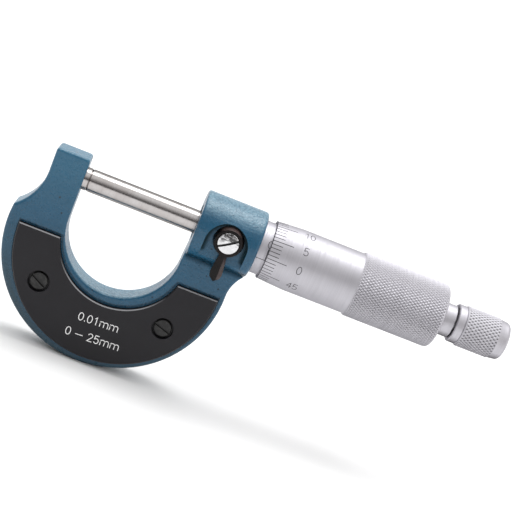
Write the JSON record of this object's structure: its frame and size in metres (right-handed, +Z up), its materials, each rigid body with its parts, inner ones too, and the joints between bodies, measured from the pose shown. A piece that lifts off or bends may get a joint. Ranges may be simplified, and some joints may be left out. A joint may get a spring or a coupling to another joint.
{
  "type": "outside micrometer",
  "caption": "C-framed outside micrometer with a turning graduated thimble, ratchet stop, lever spindle lock and insulating plates.",
  "frame": {"origin": "centre of the anvil's measuring face, on the spindle axis", "axes": "+X along the spindle from the anvil to the ratchet, +Z up away from the bow of the frame, -Y the side with the lock lever"},
  "size_m": [0.1429, 0.02, 0.0595],
  "materials": {
    "teal_paint": "semi-gloss stoved enamel over a casting",
    "charcoal_plastic": "fine satin moulding",
    "ground_steel": "finely ground round",
    "satin_chrome": "satin chrome plate",
    "inner_steel": "turned",
    "spring_steel": "drawn wire",
    "black_steel": "blackened",
    "dark_lever": "dark brown-black enamel",
    "bright_screw": "bright, scratched",
    "bronze": "turned"
  },
  "bodies": {
    "frame": {"frame": "teal_paint", "anvil": "ground_steel", "inner_sleeve": "inner_steel", "adjusting_nut": "inner_steel", "front_plate": "charcoal_plastic", "back_plate": "charcoal_plastic", "front_plate_screw_anvil_side": "black_steel", "front_plate_screw_hub_side": "black_steel", "back_plate_screw_anvil_side": "black_steel", "back_plate_screw_hub_side": "black_steel"},
    "spindle": {"spindle": "ground_steel"},
    "thimble": {"thimble": "satin_chrome", "ratchet_base": "satin_chrome", "ratchet_retaining_screw": "black_steel", "ratchet_spring": "spring_steel"},
    "ratchet_cap": {"ratchet_cap": "satin_chrome"},
    "ratchet_plunger": {"ratchet_plunger": "inner_steel"},
    "outer_sleeve": {"outer_sleeve": "satin_chrome"},
    "lock_lever": {"lock_lever": "dark_lever", "lock_lever_screw": "bright_screw", "lock_stud": "inner_steel"},
    "lock_shoe": {"lock_shoe": "bronze"}
  },
  "joints": [
    {"name": "spindle_feed", "type": "slide", "parent": "frame", "child": "spindle", "axis": [1, 0, 0], "range_m": [0, 0.025]},
    {"name": "thimble_turn", "type": "hinge", "parent": "spindle", "child": "thimble", "pos_m": [0, 0, 0], "axis": [1, 0, 0], "range_deg": [0, 18000]},
    {"name": "ratchet_slip", "type": "hinge", "parent": "thimble", "child": "ratchet_cap", "pos_m": [0.115, 0, 0], "axis": [1, 0, 0], "continuous": true},
    {"name": "plunger_slide", "type": "slide", "parent": "thimble", "child": "ratchet_plunger", "axis": [-1, 0, 0], "range_m": [0, 0.0006], "stiffness_N_per_m": 300, "springref_m": -0.002, "deforming": ["ratchet_spring"]},
    {"name": "sleeve_zero_setting", "type": "hinge", "parent": "frame", "child": "outer_sleeve", "pos_m": [0.065, 0, 0], "axis": [1, 0, 0], "range_deg": [-10, 10]},
    {"name": "lock_turn", "type": "hinge", "parent": "frame", "child": "lock_lever", "pos_m": [0.0415, -0.008, 0], "axis": [0, 1, 0], "range_deg": [0, 30]},
    {"name": "lock_press", "type": "slide", "parent": "frame", "child": "lock_shoe", "axis": [0, 1, 0], "range_m": [0, 0.00008]}
  ],
  "couplings": [
    {"joint": "thimble_turn", "follows": "spindle_feed", "rad_per_m": 12566},
    {"joint": "lock_turn", "follows": "lock_press", "rad_per_m": 6545}
  ]
}
